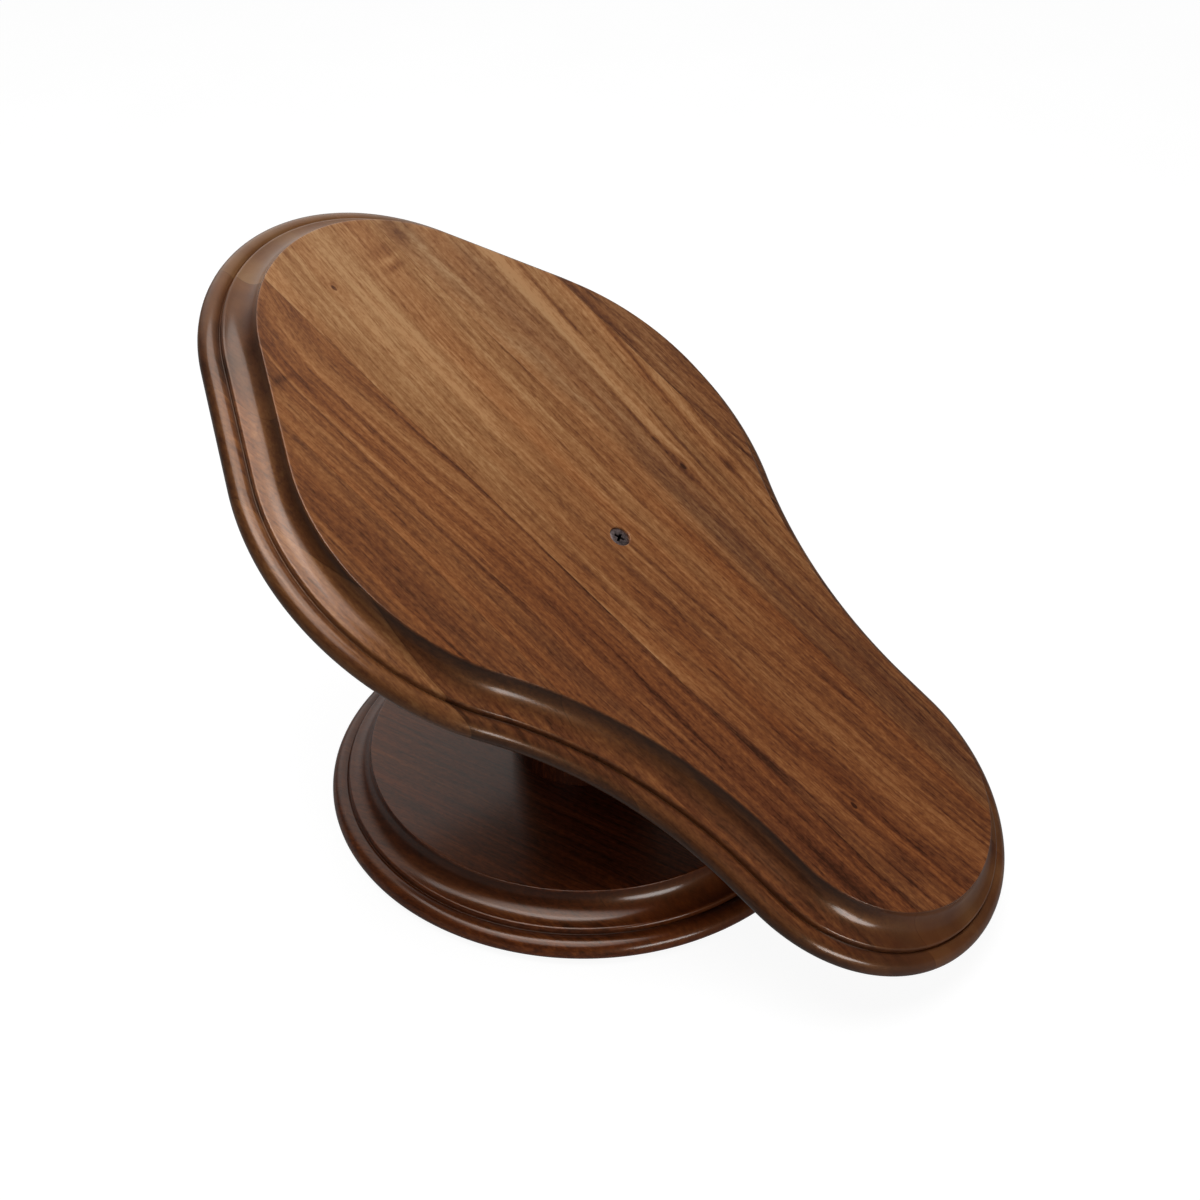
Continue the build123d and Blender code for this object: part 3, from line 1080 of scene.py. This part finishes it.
PANEL_LOOKS = [
    dict(seed=1.0, pith=(-110, 60), ring=5.0, taper=0.02, tone=(0.50, 0.50), red=(0.3, 0.4), hold=0.7),
    dict(seed=2.3, pith=(-300, -60), ring=6.4, taper=0.01, tone=(0.46, 0.27), red=(0.5, 0.7), line=0.22,
         end=0.1),
    dict(seed=3.1, pith=(-260, -120), ring=6.2, taper=0.015, tone=(0.58, 0.34), red=(0.4, 0.8), line=0.32,
         slope=-0.03, rise=(11.0, -205.0, -138.0), end=0.5, crossing=(0.25, 0.6),
         streaks=((-50, 3.0, -170, 60, -0.12),),
         blots_and_shade=((-147, -74, 1.6, 5.0, -0.3), (-140, -65, 6.0, 4.0, -0.14), (-182, -80, 24.0, 22.0, -0.3),
                (-58, -62, 30.0, 24.0, 0.12), (-196, -48, 8.0, 10.0, -0.22), (-184, -62.5, 8.0, 10.0, -0.26),
                (-168.5, -75.5, 8.0, 9.0, -0.3), (-153, -83, 8.0, 7.0, -0.26))),
    dict(seed=4.7, pith=(190, -150), ring=7.4, taper=0.03, tone=(0.82, 0.44), red=(0.1, 0.75), line=0.26,
         bow=-0.0003, wander=4.0, knots=((-171.6, -12.5, 1.3), (157, -19.5, 1.4)), end=0.5,
         crossing=(0.25, 0.6),
         streaks=((-10, 12.0, -210, -20, 0.08), (-45, 1.8, -180, -60, -0.2), (17, 1.8, -60, -25, -0.16)),
         blots_and_shade=((104, -36, 32.0, 3.4, -0.24), (-176, 26, 5.0, 8.0, -0.18), (-165.5, 26, 1.8, 6.5, -0.26),
                (-170.5, 25, 1.8, 6.5, 0.16), (-212, -10, 14.0, 40.0, -0.2), (229, -2, 8.0, 44.0, 0.22),
                (205, 8, 26.0, 26.0, -0.06), (188, -26, 12.0, 8.0, -0.13))),
    dict(seed=5.9, pith=(230, -110), ring=7.0, taper=0.02, tone=(0.73, 0.45), red=(0.2, 0.45), line=0.24,
         fan=(0.0025, 45.0), wander=3.0, knots=((-5.5, 62.5, 1.4),), end=0.45, crossing=(0.25, 0.6),
         grey=(50.0, 11.0, 0.7),
         streaks=((66, 3.8, -200, 0, 0.28), (61.8, 1.0, -170, 0, -0.3), (72.4, 1.0, -150, 40, -0.28),
                  (85.5, 1.1, -90, 60, -0.24), (89.5, 2.2, -90, 60, 0.2), (50, 9.0, -10, 200, -0.1)),
         blots_and_shade=((8.5, 86.5, 5.0, 3.0, -0.38), (-180, 43, 9.0, 6.0, -0.34), (48, 82, 26.0, 12.0, 0.12))),
    dict(seed=6.4, pith=(124, -16), ring=4.4, taper=0.16, tone=(0.42, 0.46), red=(0.2, 0.3), line=0.4,
         grey=(112.0, 22.0, 0.45), streaks=((104, 1.6, -90, 20, 0.2),)),
]
# Walnut of the base and the post; its low tone is partly painted shade from the panel above.
DARK_SHADED_WALNUT = dict(
    tone=(0.28, 0.28), tint=(0.95, 0.68, 0.45), line=0.2, streak=0.2, figure=0.75, sheen=0.3, gloss=0.16,
    # its wide dark blot in the middle is a painted shadow under the panel
    hold=0.75, blots_and_shade=((12, 0, 82.0, 82.0, -0.14),),
)
BASE_LOOKS = [
    dict(DARK_SHADED_WALNUT, seed=11.0, pith=(-60, -80), ring=5.0, taper=0.02, red=(0.4, 0.4)),
    dict(DARK_SHADED_WALNUT, seed=12.6, pith=(-160, 60), ring=4.6, taper=0.03, red=(0.5, 0.5)),
    dict(DARK_SHADED_WALNUT, seed=13.2, pith=(90, -120), ring=5.4, taper=0.02, red=(0.4, 0.4)),
    dict(DARK_SHADED_WALNUT, seed=14.8, pith=(190, 60), ring=5.0, taper=0.02, red=(0.6, 0.6)),
    dict(DARK_SHADED_WALNUT, seed=15.5, pith=(60, -90), ring=4.8, taper=0.04, red=(0.4, 0.4)),
]
# The post's near-black tone is painted shade under the panel.
SHADED_POST_LOOK = dict(
    DARK_SHADED_WALNUT, seed=21.3, pith=(14, 9), ring=3.8, taper=0.015, red=(0.4, 0.4), tone=(0.03, 0.03), blots_and_shade=(),
    glue=(None, None),
)


def stave_finishes(kind, nodes, looks, tones, thickness, origin, turn):
    """Finish of each stave, with its glue lines and underside in millimetres."""
    edges = [None if y is None else y / MM for y in glue_lines(nodes)]
    return [
        walnut(f"{kind}_{number}", tones, dict(look, glue=glue, under=-thickness / MM), origin, turn)
        for number, (look, glue) in enumerate(zip(looks, zip(edges, edges[1:])), 1)
    ]


# Operators


class STAND_OT_panel(bpy.types.Operator):
    """Build the six staves of the tilted panel"""

    bl_idname = "stand.panel"
    bl_label = "Panel"

    def execute(self, context):
        stand = context.scene.stand
        edge, screws = stand.edge, stand.screws
        thickness = edge.cove + edge.quirk + edge.bead + edge.ease
        place = panel_frame(screw_point)
        finishes = stave_finishes(
            "panel_walnut", PANEL_STAVES, PANEL_LOOKS, stand.tones, thickness, screw_point, (0.0, tilt, 0.0)
        )
        outline = pear_outline(stand.outline, edge.step / 2)
        board = moulded_board(outline, edge, PANEL_LOW_SHADE, finishes[0], place)
        head = screws.head / 2 + screws.running
        shank = screws.shank / 2 + screws.running
        rim = screws.sink + screws.rim
        hole = [
            *((head + out * SOFT_RIM, down * SOFT_RIM) for out, down in SOFT_STEPS),
            (head, rim), (shank, rim + head - shank), (shank, thickness),
        ]
        cut_staves(
            board, PANEL_STAVES, finishes, "panel",
            lambda stave: drill(stave, place, [((0, 0), hole, True)], PANEL_HOLE_SIDES),
        )
        return {"FINISHED"}


class STAND_OT_base(bpy.types.Operator):
    """Build the five staves of the round base"""

    bl_idname = "stand.base"
    bl_label = "Base"

    def execute(self, context):
        stand = context.scene.stand
        edge, screws = stand.edge, stand.screws
        thickness = base_high.z - base_low.z
        top = (0, 0, base_high.z)
        finishes = stave_finishes(
            "base_walnut", BASE_STAVES, BASE_LOOKS, stand.tones, thickness, top, (0, 0, 0)
        )
        outline = arc_points((0, 0), base_high.x, 0, 2 * pi, edge.step / 2)
        board = moulded_board(outline, edge, BASE_LOW_SHADE, finishes[0], Matrix.Translation(top))
        head, shank = screws.head / 2, screws.shank / 2
        mouth = head + screws.pocket
        pocket = screws_low.z - base_low.z + screws.rim
        hole = [
            (mouth, 0), (mouth, pocket), (head, pocket), (shank, pocket + head - shank), (shank, thickness),
        ]
        holes = [(spot, hole, True) for spot in screw_spots(screws)]
        cut_staves(
            board, BASE_STAVES, finishes, "pedestal",
            lambda stave: drill(stave, under_frame(base_low.z), holes, BORE_SIDES),
        )
        return {"FINISHED"}


class STAND_OT_post(bpy.types.Operator):
    """Build the post between the base and the panel"""

    bl_idname = "stand.post"
    bl_label = "Post"

    def execute(self, context):
        stand = context.scene.stand
        screws = stand.screws
        radius = post_high.x
        seat = post_high.z - radius * tan(tilt)
        finish = walnut("post_walnut_1", stand.tones, SHADED_POST_LOOK, (0, 0, 0), (0, radians(-90), 0))
        solid = bmesh.new()
        swept = solid.faces.layers.int.new("swept")
        smooth = solid.verts.layers.float_vector.new("smooth")
        rings = []
        for share in POST_RINGS:
            ring = []
            for x, y in spokes(POST_SIDES):
                top = seat - radius * x * tan(tilt)
                height = post_low.z + (top - post_low.z) * share
                vert = solid.verts.new((radius * x, radius * y, height))
                vert[smooth] = Vector((x, y, 0))
                ring.append(vert)
            rings.append(ring)
        for face in walls(solid, rings):
            face[swept] = 1
        solid.faces.new(rings[0])
        solid.faces.new(rings[-1][::-1])

        shank = screws.shank / 2
        seat_point = screw_point + facing * (Vector((0, 0, seat)) - screw_point).dot(facing)
        depth = panel_screw_length(screws) + screws.sink - (screw_point - seat_point).length
        bore = ((0, 0), [(shank, 0), (shank, depth)], False)
        drill(solid, panel_frame(seat_point), [bore], BORE_SIDES)
        steps = [(shank, 0), (shank, screws_high.z - post_low.z)]
        bores = [(spot, steps, False) for spot in screw_spots(screws)]
        drill(solid, under_frame(post_low.z), bores, BORE_SIDES)
        finished_piece("walnut_post", solid, finish, "post", "pedestal")
        return {"FINISHED"}


class STAND_OT_panel_screw(bpy.types.Operator):
    """Build the screw that the panel turns on"""

    bl_idname = "stand.panel_screw"
    bl_label = "Panel Screw"

    def execute(self, context):
        screws = context.scene.stand.screws
        top = screw_point - facing * screws.sink
        solid = screw_solid(screws, panel_screw_length(screws))
        solid.transform(panel_frame(top) @ Matrix.Rotation(RECESS_TURN, 4, "Z"))
        finished_piece("steel_panel_screw", solid, screw_steel(), "panel_screw", "pedestal")
        return {"FINISHED"}


class STAND_OT_base_screws(bpy.types.Operator):
    """Build the ring of screws under the base"""

    bl_idname = "stand.base_screws"
    bl_label = "Base Screws"

    def execute(self, context):
        screws = context.scene.stand.screws
        finish = screw_steel()
        solid = screw_solid(screws, screws_high.z - screws_low.z)
        solid.transform(Matrix.Rotation(pi, 4, "X"))
        pattern = new_object("one_screw", mesh_of(solid, "one_screw"))
        values = {
            "Screw": pattern, "Count": screws.count, "Radius": screws.circle / 2, "Height": screws_low.z,
            "Finish": finish,
        }
        ring = grown_mesh(screw_ring_tree(), values, "steel_base_screws")
        bpy.data.objects.remove(pattern)
        ring.shade_smooth()
        ring.set_sharp_from_angle(angle=CREASE)
        placed_piece("steel_base_screws", ring, finish, "base_screws", "pedestal")
        return {"FINISHED"}


class STAND_OT_felt(bpy.types.Operator):
    """Build the felt disc under the base"""

    bl_idname = "stand.felt"
    bl_label = "Felt"

    def execute(self, context):
        radius, low, high = felt_high.x, felt_low.z, felt_high.z
        inwards, down = FELT_SHOULDER
        profile = [
            (FELT_HUB, high), (radius - FELT_SOFT, high), (radius - inwards, high - down),
            (radius, (low + high) / 2),
            (radius - inwards, low + down), (radius - FELT_SOFT, low), (FELT_HUB, low),
        ]
        solid = bmesh.new()
        rings = turned_rings(solid, profile, FELT_SIDES)
        walls(solid, rings)
        fan(solid, rings[0], (0, 0, high))
        fan(solid, rings[-1], (0, 0, low))
        outwards_all(solid)
        piece = finished_piece("felt_disc", solid, base_felt(), "base_felt", "pedestal")
        return {"FINISHED"}


# Stage: angles in degrees round from the camera and above the horizon, lengths in metres
LAMPS = {
    "overhead": dict(azimuth=-90, elevation=82, distance=1.18, size=(0.95, 1.4)),
    "window": dict(azimuth=29, elevation=-1, distance=1.3, size=(0.58, 0.46)),
}
BACKDROP = dict(azimuth=195, elevation=37, start=0.66, full=0.95)   # start and full: cosines from its middle
GLOW = dict(azimuth=-25, elevation=68, start=0.87, full=0.985)
BACKDROP_LIGHT = 0.62        # strength of the pale backdrop behind the stand
BACKDROP_GLEAM = 1.45        # how much stronger reflections see the surroundings
GLOW_GLEAM = 3.8             # strength of the bright patch above, which only reflections see
TABLE_SEEN = 0.93            # white of the table to the camera, before the light on it
TABLE_GLEAM = 0.1            # the same in reflections
TABLE_PAPER = (0.16, 0.18)   # range of its own grey under light
TABLE_CLOUD = (9.0, 9.0, 9.0)
TABLE_HALF = 12
SENSOR = 36                  # width in millimetres


class STAND_OT_stage(bpy.types.Operator):
    """Set up the floor, the lamps and the camera"""

    bl_idname = "stand.stage"
    bl_label = "Stage"

    def execute(self, context):
        scene, settings = context.scene, context.scene.stand.stage
        scene.view_settings.view_transform = "Standard"
        self.floor()
        self.surroundings(scene, settings)
        self.camera(scene, settings)
        for name, place in LAMPS.items():
            self.lamp(settings, name, **place)
        return {"FINISHED"}

    @staticmethod
    def direction(azimuth, elevation):
        """Way from the stand to something at these angles."""
        return Vector((sin(azimuth) * cos(elevation), -cos(azimuth) * cos(elevation), sin(elevation)))

    def from_camera(self, settings, azimuth, elevation):
        """Way from the stand at angles in degrees, the first one round from the camera."""
        return self.direction(settings.azimuth + radians(azimuth), radians(elevation))

    def floor(self):
        """Table top that is white to the camera, dim in reflections and keeps the stand's shadow."""
        bench = NodeBench(bpy.data.materials.new("white_table"))
        cloud = bench.noise(bench.object_point(), TABLE_CLOUD)
        dim, pale = ((grey, grey, grey) for grey in TABLE_PAPER)
        paper = bench.add("BsdfDiffuse", [bench.ramp(cloud, [(0.2, dim), (0.8, pale)])])
        seen = bench.math("MAXIMUM", bench.rays("Camera"), bench.rays("Transmission"))
        seen = seen * TABLE_SEEN + bench.rays("Glossy") * TABLE_GLEAM
        white = bench.add("Emission", {"Strength": seen})
        finish = bench.close(bench.add("AddShader", (paper, white)))
        solid = bmesh.new()
        bmesh.ops.create_grid(solid, x_segments=8, y_segments=8, size=TABLE_HALF)
        table = new_object("white_table", mesh_of(solid, "white_table"))
        table.data.materials.append(finish)
        table.location.z = cad_box[0].z

    def surroundings(self, scene, settings):
        """Room that is white to the camera, but dim with a pale backdrop as light and in reflections."""
        bench = NodeBench(bpy.data.worlds.new("white_room"))
        sky = bench.add("TexCoord", output="Generated")

        def patch(level, around, azimuth, elevation, start, full):
            way = self.from_camera(settings, azimuth, elevation)
            toward = bench.add("VectorMath", (sky, way), "Value", operation="DOT_PRODUCT")
            return bench.smooth(toward, start, full, around, level)

        light = patch(BACKDROP_LIGHT, settings.ambient, **BACKDROP)
        gleam = light * BACKDROP_GLEAM + patch(GLOW_GLEAM, 0.0, **GLOW)
        strength = bench.math("MAXIMUM", bench.rays("Glossy") * gleam, light)
        for kind in ("Camera", "Transmission"):
            strength = bench.math("MAXIMUM", bench.rays(kind), strength)
        scene.world = bench.close(bench.add("Background", ((1, 1, 1, 1), strength)))

    def camera(self, scene, settings):
        """Camera at the photograph's place."""
        data = bpy.data.cameras.new("camera")
        data.sensor_width = SENSOR
        data.lens = settings.lens
        camera = new_object("camera", data)
        back = self.direction(settings.azimuth, settings.elevation)
        camera.location = Vector(settings.target) + back * settings.distance
        camera.rotation_euler = (-back).to_track_quat("-Z", "Y").to_euler()
        scene.camera = camera

    def lamp(self, settings, name, azimuth, elevation, distance, size):
        """Soft lamp that faces the stand."""
        data = bpy.data.lights.new(name, "AREA")
        data.shape = "ELLIPSE"
        data.size, data.size_y = size
        data.energy = getattr(settings, name)
        lamp = new_object(name, data)
        way = self.from_camera(settings, azimuth, elevation)
        lamp.location = Vector(settings.target) + way * distance
        lamp.rotation_euler = way.to_track_quat("Z", "Y").to_euler()


OPERATORS = (
    STAND_OT_panel, STAND_OT_base, STAND_OT_post, STAND_OT_panel_screw, STAND_OT_base_screws,
    STAND_OT_felt, STAND_OT_stage,
)


class STAND_PT_sidebar(bpy.types.Panel):
    """Buttons for building the stand piece by piece"""

    bl_idname = "STAND_PT_sidebar"
    bl_label = "Walnut Display Stand"
    bl_space_type = "VIEW_3D"
    bl_region_type = "UI"
    bl_category = "Stand"

    def draw(self, context):
        for operator in OPERATORS:
            self.layout.operator(operator.bl_idname)


CLASSES = (
    MouldedEdge, PanelOutline, ScrewSizes, WalnutTones, StageSettings, StandSettings, *OPERATORS,
    STAND_PT_sidebar,
)


def register():
    for item in CLASSES:
        bpy.utils.register_class(item)
    bpy.types.Scene.stand = bpy.props.PointerProperty(type=StandSettings)


def unregister():
    del bpy.types.Scene.stand
    for item in reversed(CLASSES):
        bpy.utils.unregister_class(item)


def main():
    register()
    for operator in OPERATORS:
        family, verb = operator.bl_idname.split(".")
        getattr(getattr(bpy.ops, family), verb)()
    bpy.context.view_layer.update()


if __name__ == "__main__":
    main()
